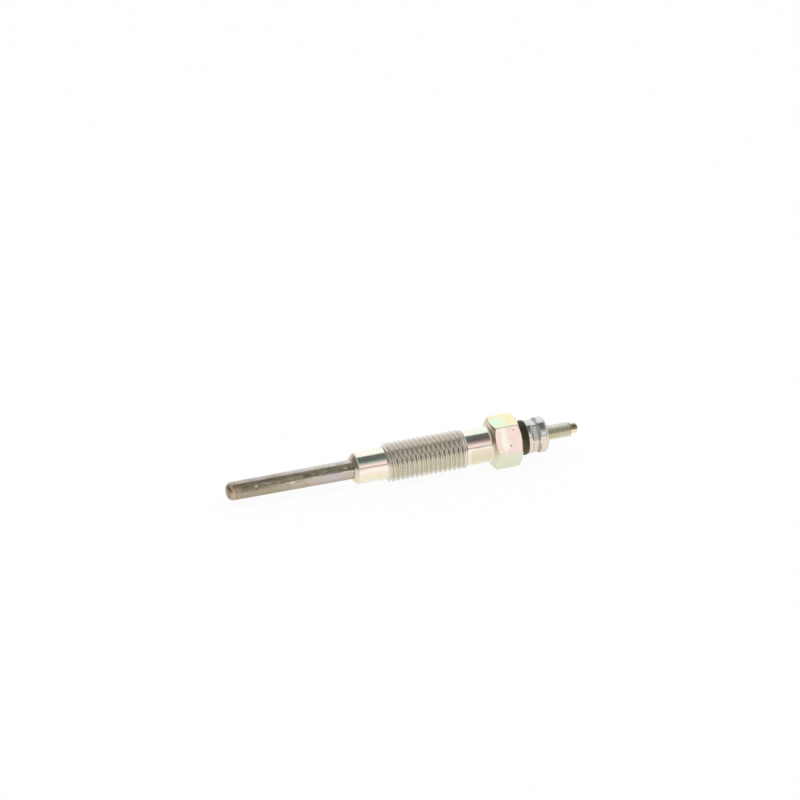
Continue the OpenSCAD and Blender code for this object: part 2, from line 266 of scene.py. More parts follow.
class RingSizes(bpy.types.PropertyGroup):
    hole_r: length("Hole radius", "Radius of the hole for the stud", 1.77)
    front: length("Front", "Station of the ring's front face", 46.35)
    rear: length("Rear", "Station of the ring's rear face", 51.75)
    flange_r: length("Flange radius", "Radius of the flange against the bush", 4.35)
    collar_r: length("Collar radius", "Radius of the collar behind the crimp", 4.6)
    jaw_apothem: length("Jaw depth", "From the axis to the flats that the jaws leave", 3.75)
    jaw_front: length("Jaw front", "Station where the flats begin", 47.7035)
    jaw_rear: length("Jaw rear", "Station where the flats end", 48.9035)
    jaw_slope: angle("Jaw slope", "Slope of the shoulders beside the flats", 50)
    jaw_turn: angle("Jaw turn", "How far the six jaws are turned from straight down", -8)
    corner: length("Corner rounding", "Rounding of the ridges between the flats", 0.55)
    chamfer: length("Rear chamfer", "Chamfer of the collar's rear edge", 0.6)
    ease: length("Eased edges", "How far the edges are rounded", 0.14)


class Finish(bpy.types.PropertyGroup):
    # Yellow to khaki are the plating's own film colours; laid out by which way a face looks, they are
    # painted sheen
    yellow: colour("Yellow plate", "Plating on flats that look up", 0.97, 0.90, 0.56)
    green: colour("Green plate", "Green bloom in the plating", 0.80, 0.96, 0.74)
    mint: colour("Mint plate", "Pale green high on the turned faces", 0.87, 0.97, 0.82)
    pink: colour("Pink plate", "Plating on faces half turned up", 0.97, 0.76, 0.69)
    cream: colour("Cream plate", "Palest plating between the tints", 0.99, 0.96, 0.84)
    straw: colour("Straw plate", "Pale yellow plating low on the turned faces", 0.95, 0.87, 0.66)
    peach: colour("Peach plate", "Plating on the turned faces that look ahead", 0.97, 0.84, 0.70)
    khaki: colour("Khaki plate", "Plating on faces that look down", 0.83, 0.84, 0.64)
    # Painted shade: brown laid on faces that look towards the heater
    brown: colour("Brown plate", "Plating on faces that look towards the heater", 0.52, 0.43, 0.33)
    # The thread's dull plating; taupe instead of olive higher up is a painted highlight colour
    olive: colour("Olive plate", "Dull plating of the thread's lower half", 0.74, 0.71, 0.60)
    taupe: colour("Taupe plate", "Dull plating of the thread's upper half", 0.77, 0.73, 0.65)
    stain: colour("Shank stain", "Duller plating low on the shank", 0.76, 0.66, 0.46)
    speck: colour("Specks", "Bare and stained specks", 0.16, 0.08, 0.05)
    tube: colour("Heater tube", "Bare alloy of the heater tube", 0.62, 0.54, 0.45)
    # Painted highlight: pale line along the tube's near side
    tube_highlight: colour("Tube line", "Pale line along the tube's near side", 0.92, 0.83, 0.76)
    # Painted shade: darker alloy on faces that look down
    tube_underside_shade: colour("Tube below", "Alloy that looks down", 0.52, 0.44, 0.36)
    # Painted dark reflection in an olive heat tint colour along the near side; the dark fleck uses the
    # same colour as a real mark
    tube_dark: colour("Tube shade", "Olive heat tint along the near side", 0.18, 0.165, 0.105)
    tube_olive: colour("Tube olive", "Paler olive heat tint near the top", 0.72, 0.67, 0.48)
    # Painted highlight along the top, in a pale violet heat tint colour
    tube_top_highlight: colour("Tube sky", "Pale violet heat tint along the top", 0.66, 0.64, 0.67)
    tube_scale: colour("Tube scale", "Dull scale on the half towards the tip", 0.38, 0.33, 0.23)
    # Dark heat tint towards the tip, laid on a band by facing as painted shade
    tube_smoke_and_shade: colour("Tube smoke", "Dark heat tint towards the tip", 0.24, 0.21, 0.135)
    tube_tip: colour("Tube tip", "Brown heat tint of the tip", 0.58, 0.45, 0.34)
    tube_blue: colour("Tube blue", "Blue heat tint near the shell", 0.58, 0.57, 0.74)
    # Painted shade as the crease's line; also the darker brown of the tip's end
    crease: colour("Tip crease", "Brown line in the crease behind the tip", 0.22, 0.14, 0.09)
    bush: colour("Bush", "Black moulded bush", 0.032, 0.027, 0.011)
    # Painted reflection: the floor's light on the bush's lower half
    bush_low_reflection: colour("Bush below", "Brown-black of the bush's lower half", 0.10, 0.085, 0.035)
    ring: colour("Ring", "Bright crimped ring", 0.75, 0.75, 0.74)
    # Painted reflection: warm floor light on the ring's lower half
    ring_floor_reflection: colour("Ring warm", "Warm tint of the ring", 0.84, 0.72, 0.61)
    # Painted shade on the ring's shoulders that look towards the heater
    ring_shoulder_shade: colour("Ring shade", "Grey of shoulders that look towards the heater", 0.5, 0.49, 0.49)
    # The stud's three bands by height are painted light: highlight on top, shade half way up, floor
    # reflection below
    stud: colour("Stud", "Pale plating of the stud's upper side", 0.98, 0.99, 0.91)
    stud_mid_shade: colour("Stud shade", "Dull plating half way up the stud", 0.68, 0.65, 0.54)
    stud_low_reflection: colour("Stud below", "Warmer plating of the stud's lower half", 0.84, 0.79, 0.65)
    # Olive-gold plating of the dog point; dark above and gold below by facing is a painted reflection
    dog: colour("Dog point", "Olive plating of the dog point's upper side", 0.30, 0.27, 0.16)
    gold: colour("Dog gold", "Yellower plating of the dog point's lower side", 0.90, 0.80, 0.58)
    wire: colour("Coil wire", "Resistance wire", 0.50, 0.46, 0.42)
    powder: colour("Powder", "Packed magnesium oxide", 0.86, 0.84, 0.78)
    powder_dark: colour("Powder shade", "Darker grains of the powder", 0.688, 0.672, 0.624)
    rubber: colour("Rubber", "Sealing rubber", 0.05, 0.045, 0.04)
    rubber_pale: colour("Rubber bloom", "Paler grains of the rubber", 0.09, 0.081, 0.072)


class StageSettings(bpy.types.PropertyGroup):
    azimuth: angle("Azimuth", "How far the camera stands to the heater's side of square on", 17.76)
    elevation: angle("Elevation", "How high the camera looks down from", 27.62)
    distance: length("Distance", "From the camera to the point in the middle of the picture", 1380)
    aim_right: length("Aim right", "Middle of the picture from the frame's origin, to the right", -0.75)
    aim_up: length("Aim up", "Middle of the picture from the frame's origin, upward", 19.72)
    lens: amount("Focal length", "Focal length in millimetres on a 36 mm sensor", 244.0)
    far_clip: length("Far clip", "Furthest distance that the camera sees", 20000)
    floor_half: length("Floor", "Half the width of the floor", 4000)
    floor_grey: amount("Floor grey", "Brightness of the floor's own colour", 0.95)
    floor_glow: amount("Floor white", "Share of the floor that stays white for the camera", 0.94)
    floor_mirror: amount("Floor in metal", "Share of the floor that stays white in metal", 0.75)
    lamp_power: amount("Lamp power", "Power of the overhead lamp in watts", 12.0)
    lamp_size: length("Lamp size", "Width of the overhead lamp", 1600)
    lamp_height: length("Lamp height", "Height of the overhead lamp", 1500)
    studio: amount("Studio light", "Brightness of the white walls round the plug", 1.0)
    gap: amount("Dark gap", "Brightness of the opening between the walls", 0.13)


class PlugSettings(bpy.types.PropertyGroup):
    shell: bpy.props.PointerProperty(type=ShellSizes)
    sheath: bpy.props.PointerProperty(type=SheathSizes)
    stud: bpy.props.PointerProperty(type=StudSizes)
    bush: bpy.props.PointerProperty(type=BushSizes)
    ring: bpy.props.PointerProperty(type=RingSizes)
    finish: bpy.props.PointerProperty(type=Finish)
    stage: bpy.props.PointerProperty(type=StageSettings)


# The plug's own coordinates
class PlugFrame:
    """Where the plug lies: its axis, two directions across it and the middle of the shell's front end."""

    def __init__(self):
        shell = settings().shell
        thread = MOUNTS["engine_thread"]
        self.axis = -np.array(thread["axis"], float)
        self.axis /= np.linalg.norm(self.axis)
        self.side = np.array([0.0, 1.0, 0.0])
        self.down = np.cross(self.side, self.axis)
        middle = shell.pilot_len + THREAD_DEPTH * shell.pitch + thread["dims"]["length_mm"] * MM / 2
        self.origin = np.array(thread["pos_m"], float) - middle * self.axis

    def place(self, radius, station, angles):
        """Points at a radius, station and angle, in the frame."""
        across = (radius * np.cos(angles))[..., None] * self.down
        aside = (radius * np.sin(angles))[..., None] * self.side
        return self.origin + station[..., None] * self.axis + across + aside


def settings():
    """The sizes, colours and stage values that the panel shows."""
    return bpy.context.scene.glow_plug


# Surfaces
class Skin:
    """One closed surface that is put together from grids of points."""

    def __init__(self, each, turn=0.0):
        """Takes the number of columns for each of the six sides and the turn of the sides."""
        self.plug = PlugFrame()
        self.angles = gathered(each, turn)
        self.points = np.empty((0, 3))
        self.quads = []

    def rows(self, radius, station):
        """Adds rings of points, one row a ring and one column an angle, and returns their numbers."""
        radius, station, angles = np.broadcast_arrays(radius, station, self.angles)
        first = len(self.points)
        points = self.plug.place(radius, station, angles).reshape(-1, 3)
        self.points = np.vstack([self.points, points])
        return np.arange(first, len(self.points)).reshape(radius.shape)

    def sweep(self, outline, steps=EASE_STEPS):
        """Carries an outline with eased corners round the axis and returns the numbers of its rows."""
        radius, station = eased(outline, len(self.angles), steps).swapaxes(0, 1)
        return self.rows(radius, station)

    def join(self, numbers, last=None):
        """Puts faces between neighbouring rows, which look outward where the stations grow.

        The last column is the first one again, unless another is given.
        """
        closing = numbers[:, :1] if last is None else last[:, None]
        grid = np.hstack([numbers, closing])
        corners = (grid[:-1, :-1], grid[:-1, 1:], grid[1:, 1:], grid[1:, :-1])
        self.quads.append(np.stack(corners, axis=-1).reshape(-1, 4))

    def close(self, numbers):
        """Puts faces between the rows and from the last row back to the first."""
        self.join(np.vstack([numbers, numbers[:1]]))

    def mesh(self, name):
        """The surface as a mesh. A face with two corners in one is a triangle, a flatter one goes."""
        quads = np.concatenate(self.quads)
        same = quads == np.roll(quads, -1, axis=1)
        doubles = same.sum(axis=1)
        once = doubles == 1
        triangles = quads[once][~same[once]].reshape(-1, 3)
        quads = quads[doubles == 0]
        corners = np.concatenate([quads.ravel(), triangles.ravel()])
        used, numbers = np.unique(corners, return_inverse=True)
        split = quads.size
        faces = numbers[:split].reshape(-1, 4).tolist() + numbers[split:].reshape(-1, 3).tolist()
        mesh = bpy.data.meshes.new(name)
        mesh.from_pydata(self.points[used].tolist(), [], faces)
        mesh.shade_smooth()
        mesh.set_sharp_from_angle(angle=SHARP)
        return mesh


def eased(outline, columns, steps):
    """Rounds an outline's corners and returns rows of radius and station, one column an angle.

    A corner is a radius, a station and an ease, the length that is cut from both its legs. Between
    the cuts A and B the corner C becomes the arc ((1-t)^2 A + 2wt(1-t) C + t^2 B) over the sum of its
    weights, where t runs from 0 to 1 and w is the cosine of half the turn. Two cuts that don't fit on
    a leg share it.
    """
    corners = np.array([[np.broadcast_to(v, columns) for v in corner[:2]] for corner in outline])
    eases = [ease for _, _, ease in outline]
    t = np.linspace(0, 1, steps + 1)[:, None, None]
    rows = []
    for here, ease in enumerate(eases):
        corner = corners[here]
        if ease == 0:
            rows.append(corner[None])
            continue
        ahead = (here + 1) % len(eases)
        legs = [corners[here - 1] - corner, corners[ahead] - corner]
        lengths = [np.linalg.norm(leg, axis=0) for leg in legs]
        rooms = [lengths[0] / (ease + eases[here - 1]), lengths[1] / (ease + eases[ahead])]
        cut = ease * np.minimum(1, np.minimum(*rooms))
        back, forth = (leg / long for leg, long in zip(legs, lengths))
        weight = np.sqrt(np.clip((1 - (back * forth).sum(axis=0)) / 2, 0, 1))
        pull = 2 * weight * t * (1 - t)
        bent = (1 - t) ** 2 * (corner + cut * back) + pull * corner + t**2 * (corner + cut * forth)
        rows.append(bent / ((1 - t) ** 2 + pull + t**2))
    return np.concatenate(rows)


def gathered(each, turn):
    """Angles once round that gather at a hexagon's corners: even steps from each, raised to a power."""
    even = 2 * np.arange(each) / each - 1
    half = math.pi / SIDES
    within = half * np.sign(even) * np.abs(even) ** GATHER
    return (turn + (2 * np.arange(SIDES)[:, None] + 1) * half + within).ravel()


def from_flat(angles, turn):
    """How far each angle is from the middle of its side of a hexagon."""
    half = math.pi / SIDES
    return (angles - turn + half) % (2 * half) - half


def hexagon(angles, apothem, rounding, turn=0.0):
    """Radius of a hexagon: the apothem over the cosine from a flat's middle, or the corner's arc."""
    half = math.pi / SIDES
    off = from_flat(angles, turn)
    corner = half - np.abs(off)
    centre = (apothem - rounding) / math.cos(half)
    tangent = half - math.atan((apothem - rounding) * math.tan(half) / apothem)
    across = np.clip(rounding**2 - (centre * np.sin(corner)) ** 2, 0, None)
    rounded = centre * np.cos(corner) + np.sqrt(across)
    return np.where(corner < tangent, rounded, apothem / np.cos(off))


def thread_height(turns):
    """Height of a 60 degree thread over its root, from 0 to 1, at a place in turns from a root's middle.

    A straight flank runs from the crest's edge to the root's edge, and the mean of three neighbouring
    places rounds its ends.
    """
    height = 0
    for shift in (-FLANK_SOFT, 0, FLANK_SOFT):
        away = np.abs((turns + shift) % 1 - 0.5)
        height = height + np.clip((ROOT_EDGE - away) / (ROOT_EDGE - CREST_EDGE), 0, 1) / 3
    return height


def add_thread(skin, start, end, pitch, crest, root, limit):
    """Puts a right-hand thread on a skin between two rings, given as their numbers and stations.

    A row follows the helix: its station grows by one pitch in a turn, so its last column is the first
    column of the row one pitch further on. Points past either end are the end ring's own. root and limit
    are functions of the station: the radius at the bottom of the thread and the largest radius.
    """
    (first_ring, front), (last_ring, rear) = start, end
    rows = np.array(THREAD_ROWS)
    phases = np.concatenate([0.5 - rows[::-1], 0.5 + rows[:-1]])
    pitches = math.ceil((rear - front) / pitch) + 2
    turns = (np.arange(pitches)[:, None] + phases).ravel()
    station = front + pitch * (turns[:, None] - 1 + skin.angles / (2 * math.pi))
    low = root(station)
    radius = np.minimum(low + (crest - low) * thread_height(turns)[:, None], limit(station))
    numbers = skin.rows(radius, station)
    numbers = np.where(station <= front, first_ring, np.where(station >= rear, last_ring, numbers))
    numbers = np.vstack([first_ring, numbers, last_ring])
    beyond = np.full(len(phases), last_ring[0])
    last = np.concatenate([first_ring[:1], numbers[1 + len(phases) : -1, 0], beyond, last_ring[:1]])
    skin.join(numbers, last)


def add_piece(name, node, skin, material):
    """Links a skin as a piece that rides on the plug and stands for a CAD node."""
    mesh = skin.mesh(name)
    mesh.materials.append(material)
    piece = bpy.data.objects.new(name, mesh)
    bpy.context.scene.collection.objects.link(piece)
    piece.modifiers.new("Weighted normals", "WEIGHTED_NORMAL")
    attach(piece, "root")
    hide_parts(node)


# Nodes
class Wiring:
    """Puts nodes into the tree of a material or a world and wires them up."""

    def __init__(self, owner):
        owner.use_nodes = True
        self.tree = owner.node_tree

    def feed(self, node, sockets):
        """Feeds a node's sockets with values or with other nodes' outputs."""
        for key, value in sockets.items():
            if isinstance(value, bpy.types.NodeSocket):
                self.tree.links.new(value, node.inputs[key])
            else:
                node.inputs[key].default_value = value

    def put(self, kind, sockets=(), **choices):
        """Adds a node, makes its choices and feeds its sockets."""
        node = self.tree.nodes.new(kind)
        for key, value in choices.items():
            setattr(node, key, value)
        self.feed(node, dict(sockets))
        return node

    def math(self, operation, first, second=0.0):
        """One step of arithmetic."""
        return self.put("ShaderNodeMath", {0: first, 1: second}, operation=operation).outputs[0]

    def plus(self, first, second):
        return self.math("ADD", first, second)

    def less(self, first, second):
        return self.math("SUBTRACT", first, second)

    def times(self, first, second):
        return self.math("MULTIPLY", first, second)

    def ramp(self, value, stops):
        """A colour by place on a scale of stops, each a position and a colour."""
        node = self.put("ShaderNodeValToRGB", {0: value})
        elements = node.color_ramp.elements
        for _ in stops[2:]:
            elements.new(0.5)
        for element, (position, tint) in zip(elements, stops):
            element.position = position
            element.color = (*tint, 1)
        return node.outputs[0]

    def mix(self, share, under, over, blend="MIX"):
        """One colour over another by a share."""
        under, over = (v if isinstance(v, bpy.types.NodeSocket) else (*v, 1) for v in (under, over))
        sockets = {0: share, 6: under, 7: over}
        return self.put("ShaderNodeMix", sockets, data_type="RGBA", blend_type=blend).outputs[2]


class Paint(Wiring):
    """One procedural material in the plug's own coordinates: along its axis, to the far side and up.

    upward says how far a face looks up, from 0 for straight down to 1 for straight up, and forward
    how far it looks towards the heater, up to 1 for straight ahead.
    """

    def __init__(self, name):
        self.material = bpy.data.materials.new(name)
        super().__init__(self.material)
        plug = PlugFrame()
        tilt = math.atan2(plug.axis[2], plug.axis[0])
        turned = Matrix.Rotation(tilt, 3, "Y") @ Vector(plug.origin)
        source = self.put("ShaderNodeTexCoord").outputs
        sockets = {"Vector": source["Object"], "Location": -turned, "Rotation": (0, tilt, 0)}
        self.place = self.put("ShaderNodeMapping", sockets).outputs[0]
        self.along, _, self.up = self.put("ShaderNodeSeparateXYZ", {0: self.place}).outputs
        facing = self.put("ShaderNodeSeparateXYZ", {0: source["Normal"]}).outputs
        self.upward = self.plus(self.times(facing[2], 0.5), 0.5)
        self.forward = self.times(facing[0], -1.0)
        self.relief = None

    def vector(self, operation, *values):
        """One step of vector arithmetic."""
        return self.put("ShaderNodeVectorMath", dict(enumerate(values)), operation=operation).outputs

    def noise(self, per_mm, stretch, detail):
        """Noise with this many cells in a millimetre, more or fewer along each direction."""
        scaled = self.vector("MULTIPLY", self.place, stretch)[0]
        sockets = {"Vector": scaled, "Scale": per_mm / MM, "Detail": detail}
        return self.put("ShaderNodeTexNoise", sockets).outputs[0]

    def between(self, value, low, high, at_low=0.0, at_high=1.0):
        """Goes smoothly from one value at low to another at high, and stays there beyond."""
        sockets = {0: value, 1: low, 2: high, 3: at_low, 4: at_high}
        return self.put("ShaderNodeMapRange", sockets, interpolation_type="SMOOTHSTEP").outputs[0]

    def past(self, station, before, behind, at_low=0.0, at_high=1.0):
        """Goes from one value to another along the axis, from some mm before a station to some behind."""
        return self.between(self.along, station - before * MM, station + behind * MM, at_low, at_high)

    def measured(self, value, low, high, at_low=0.0, at_high=1.0):
        """Goes from one value to another while a length grows from low to high, both in mm."""
        return self.between(value, low * MM, high * MM, at_low, at_high)

    def spread(self, noise, low, high):
        """Spreads the common values of a noise from low to high."""
        return self.between(noise, *COMMON_NOISE, low, high)

    def sway(self, noise, reach):
        """Sways with a noise to either side of 0, as far as the reach."""
        return self.spread(noise, -reach, reach)

    def spot(self, centre, radius, stretch=EVEN):
        """A soft spot round a place in the plug's own coordinates, in mm, narrowed by the stretch."""
        away = self.vector("SUBTRACT", self.place, Vector(centre) * MM)[0]
        reach = self.vector("LENGTH", self.vector("MULTIPLY", away, stretch)[0])["Value"]
        return self.between(reach, SPOT_CORE * radius * MM, radius * MM, 1.0, 0.0)

    def tints(self, value, finish, stops):
        """A colour by place on a scale of stops, each a position and the name of a colour."""
        return self.ramp(value, [(position, getattr(finish, name)) for position, name in stops])

    def bump(self, height, depth, strength):
        """Adds relief of a real depth in mm on top of the relief so far."""
        sockets = {"Height": height, "Distance": depth * MM, "Strength": strength}
        if self.relief:
            sockets["Normal"] = self.relief
        self.relief = self.put("ShaderNodeBump", sockets).outputs[0]

    def coat(self, tint, roughness, metallic=1.0, specular=0.5):
        """Feeds the shader with its values and the relief, and returns the material."""
        sockets = {
            "Base Color": tint,
            "Roughness": roughness,
            "Metallic": metallic,
            "Specular IOR Level": specular,
            "Normal": self.relief,
        }
        self.feed(self.tree.nodes["Principled BSDF"], sockets)
        return self.material


# Materials
def plated_flats(paint, finish, fine):
    """Plating of the hexagon's flats: tints by how far they look up as painted sheen, a film, a bloom and
    a streak.
    """
    film = paint.noise(*PLATE_FILM)
    # Painted sheen: film colours by how far a flat looks up
    tint = paint.tints(paint.upward, finish, FLAT_SHEEN_TINTS)
    tint = paint.mix(paint.between(film, 0.5, 0.7, 0.0, SHARE["film"]), tint, finish.cream)
    tint = paint.mix(paint.between(film, 0.48, 0.3, 0.0, SHARE["film"]), tint, finish.peach)
    bloom = paint.plus(paint.spot(*GREEN_BLOOM), paint.sway(fine, BLOOM_FRAY))
    tint = paint.mix(paint.between(bloom, 0.0, 1.0), tint, finish.green)
    return paint.mix(paint.spot(*CREAM_STREAK), tint, finish.cream)


def zinc_plate(finish, shell):
    """Iridescent yellow zinc: tints by how far a face looks up as painted sheen, painted shade on faces
    that look towards the heater, dull thread with a painted highlight colour above, stained shank,
    specks.
    """
    paint = Paint("zinc_plate")
    cloud, fine = paint.noise(*PLATE_CLOUD), paint.noise(*PLATE_FINE)
    drift = paint.plus(paint.sway(cloud, 0.06), paint.sway(fine, 0.02))
    # Painted sheen: the film's colours by how far a face looks up
    turned = paint.tints(paint.plus(paint.upward, drift), finish, TURNED_SHEEN_TINTS)
    on_hexagon = paint.past(shell.hex_front, 0.9, 0.1)
    on_thread = paint.less(paint.past(shell.pilot_len, 0, 0.8), paint.past(shell.thread_end, 0.3, 0.1))
    on_shank = paint.less(paint.past(shell.thread_end, -0.3, 1.3), on_hexagon)
    tint = paint.mix(on_hexagon, turned, plated_flats(paint, finish, fine))
    # Painted shade: brown on faces that look towards the heater, stronger higher up
    ahead = paint.between(paint.forward, 0.3, 0.75, 0.0, SHARE["brown"])
    shaded = paint.times(ahead, paint.measured(paint.up, -1.5, 2.0, 0.25, 1.0))
    tint = paint.mix(shaded, tint, finish.brown)
    # Dull plating on the thread, with taupe higher up as a painted highlight colour
    dull = paint.mix(paint.measured(paint.up, 0.5, 3.5), finish.olive, finish.taupe)
    tint = paint.mix(paint.times(on_thread, SHARE["thread"]), tint, dull)
    dust = paint.between(paint.noise(*PLATE_DUST), 0.715, 0.735, 0.0, SHARE["dust"])
    pits = paint.plus(*(paint.spot(*pit) for pit in PITS))
    specks = paint.math("MAXIMUM", dust, pits)
    tint = paint.mix(paint.times(specks, SHARE["specks"]), tint, finish.speck)
    stain = paint.times(on_shank, paint.between(paint.upward, 0.6, 0.7, 1.0, 0.0))
    stain = paint.times(stain, paint.between(paint.upward, 0.1, 0.4, 0.1, SHARE["stain"]))
    tint = paint.mix(stain, tint, finish.stain)
    paint.bump(paint.times(paint.noise(*SHANK_WAVES), on_shank), depth=0.03, strength=0.5)
    paint.bump(paint.noise(*TURNING_MARKS), depth=0.002, strength=0.5)
    paint.bump(paint.noise(*PLATE_GRAIN), depth=0.0015, strength=0.5)
    rough = paint.plus(paint.spread(fine, 0.12, 0.2), paint.times(on_thread, THREAD_ROUGHER))
    return paint.coat(tint, rough)


def heat_tints(paint, finish, fine):
    """Bare alloy in bands by how far it looks up, which are painted shade, highlights and a dark painted
    reflection, blue near the shell, with scale and smoke towards the tip, the smoke partly painted shade.
    """
    cloud = paint.noise(*TUBE_CLOUD)
    place = paint.plus(paint.along, paint.sway(cloud, 2.5 * MM))
    level = paint.plus(paint.plus(paint.upward, paint.sway(fine, 0.03)), paint.sway(cloud, 0.02))
    # Painted light: bands by facing, with shade below, highlights and a dark reflection band
    tint = paint.tints(level, finish, TUBE_TINTS)
    blue = paint.times(paint.spot(*BLUE_TINT), paint.between(fine, 0.35, 0.65, 0.0, SHARE["blue"]))
    tint = paint.mix(blue, tint, finish.tube_blue)
    scale = paint.measured(place, -22, -12, SHARE["scale"], 0.0)
    scale = paint.times(scale, paint.between(level, 0.6, 0.78, 1.0, 0.35))
    tint = paint.mix(scale, tint, finish.tube_scale)
    # Heat tint towards the tip, kept to faces in a band by facing as painted shade
    smoke = paint.measured(place, -27, -12, SHARE["smoke"], 0.0)
    smoke = paint.times(smoke, paint.between(level, 0.47, 0.66))
    smoke = paint.times(smoke, paint.between(level, 0.8, 0.9, 1.0, 0.3))
    tint = paint.mix(smoke, tint, finish.tube_smoke_and_shade)
    patches = paint.between(fine, 0.45, 0.7, 0.0, SHARE["patches"])
    patches = paint.times(patches, paint.measured(place, -14, -4, 1.0, 0.3))
    tint = paint.mix(patches, tint, finish.tube_tip)
    mottle = paint.between(paint.noise(*TUBE_MOTTLE), 0.5, 0.7, 0.0, SHARE["mottle"])
    return paint.mix(mottle, tint, finish.tube_scale)


def heat_alloy(finish, sheath):
    """Bare heater alloy with heat tints, a brown tip that is darker at its end, painted shade in the
    crease, and flecks.
    """
    paint = Paint("heat_alloy")
    fine = paint.noise(*TUBE_FINE)
    tint = heat_tints(paint, finish, fine)
    crease = sheath.crease_at - sheath.reach
    tint = paint.mix(paint.past(crease, 0.5, 1.5, SHARE["tip"], 0.0), tint, finish.tube_tip)
    tint = paint.mix(paint.between(paint.forward, 0.35, 0.9, 0.0, SHARE["tip_end"]), tint, finish.crease)
    # Painted shade: a brown line in the shallow crease
    away = paint.math("ABSOLUTE", paint.less(paint.along, crease))
    line = paint.between(away, 0.0, 2.5 * sheath.crease_half, SHARE["crease"], 0.0)
    tint = paint.mix(line, tint, finish.crease)
    flecks = paint.between(paint.noise(*TUBE_FLECKS), 0.7, 0.74)
    for fleck in PALE_FLECKS:
        flecks = paint.math("MAXIMUM", flecks, paint.spot(*fleck))
    tint = paint.mix(paint.times(flecks, SHARE["flecks"]), tint, finish.straw)
    tint = paint.mix(paint.spot(*DARK_FLECK), tint, finish.tube_dark)
    paint.bump(fine, depth=0.004, strength=0.6)
    paint.bump(paint.noise(*DRAWING_MARKS), depth=0.002, strength=0.6)
    return paint.coat(tint, paint.between(fine, 0.25, 0.75, 0.24, 0.38))


def black_phenolic(finish):
    """Black moulded resin with a fine grain, lighter brown below as a painted floor reflection."""
    paint = Paint("black_phenolic")
    cloud = paint.noise(*BUSH_CLOUD)
    level = paint.plus(paint.up, paint.sway(cloud, CLOUD_SWAY))
    # Painted reflection: lighter brown-black on the lower half
    tint = paint.mix(paint.measured(level, -0.5, 2.0), finish.bush_low_reflection, finish.bush)
    paint.bump(paint.noise(*BUSH_GRAIN), depth=0.003, strength=0.6)
    rough = paint.spread(cloud, 0.34, 0.46)
    return paint.coat(tint, rough, metallic=0.0, specular=BUSH_SPECULAR)


def bright_steel(finish):
    """Bright plated steel with jaw marks, a warm painted floor reflection below and grey painted shade on
    shoulders towards the heater.
    """
    paint = Paint("bright_steel")
    cloud, fine = paint.noise(*RING_CLOUD), paint.noise(*RING_FINE)
    level = paint.plus(paint.up, paint.sway(cloud, CLOUD_SWAY))
    # Painted reflection: warm tint of the floor below
    tint = paint.mix(paint.measured(level, 0.6, 2.2, 1.0, 0.0), finish.ring, finish.ring_floor_reflection)
    # Painted shade: grey multiplied over shoulders that look towards the heater
    ahead = paint.between(paint.forward, 0.3, 0.6, 0.0, SHARE["ring"])
    tint = paint.mix(ahead, tint, finish.ring_shoulder_shade, "MULTIPLY")
    paint.bump(paint.noise(*JAW_MARKS), depth=0.002, strength=0.5)
    paint.bump(fine, depth=0.003, strength=0.4)
    return paint.coat(tint, paint.spread(fine, 0.16, 0.28))


def stud_steel(finish, stud):
    """Pale plated steel with bands by height: a painted highlight on top, painted shade half way up and a
    warm painted floor reflection below, with an olive and gold dog point whose dark upper side is a
    painted reflection.
    """
    paint = Paint("stud_steel")
    cloud, fine = paint.noise(*STUD_CLOUD), paint.noise(*FINE_GRAIN)
    # Painted light: floor reflection below, shade half way up, highlight on top
    plate = paint.mix(paint.measured(paint.up, 0.1, 0.8), finish.stud_low_reflection, finish.stud_mid_shade)
    plate = paint.mix(paint.measured(paint.up, 1.15, 1.6), plate, finish.stud)
    plate = paint.mix(paint.times(cloud, SHARE["stud"]), plate, finish.dog)
    # Painted reflection: dark olive on faces that look up, gold below
    point = paint.mix(paint.between(paint.upward, 0.56, 0.7), finish.gold, finish.dog)
    tint = paint.mix(paint.past(stud.thread_rear, 0.7, 0.3), plate, point)
    paint.bump(fine, depth=0.0012, strength=0.4)
    return paint.coat(tint, paint.spread(fine, 0.27, 0.36))


def coil_wire(finish):
    """Drawn resistance wire with a heat tint."""
    paint = Paint("coil_wire")
    fine = paint.noise(*FINE_GRAIN)
    tint = paint.mix(paint.times(fine, SHARE["wire"]), finish.wire, finish.tube_tip)
    paint.bump(fine, depth=0.003, strength=0.5)
    return paint.coat(tint, paint.spread(fine, 0.28, 0.44))


def oxide_powder(finish):
    """Packed white powder."""
    paint = Paint("oxide_powder")
    grain = paint.noise(*POWDER_GRAIN)
    tint = paint.mix(grain, finish.powder, finish.powder_dark)
    paint.bump(grain, depth=0.02, strength=0.8)
    return paint.coat(tint, roughness=0.9, metallic=0.0)


def seal_rubber(finish):
    """Moulded sealing rubber."""
    paint = Paint("seal_rubber")
    grain = paint.noise(*RUBBER_GRAIN)
    tint = paint.mix(grain, finish.rubber, finish.rubber_pale)
    paint.bump(grain, depth=0.005, strength=0.6)
    return paint.coat(tint, paint.spread(grain, 0.45, 0.62), metallic=0.0)


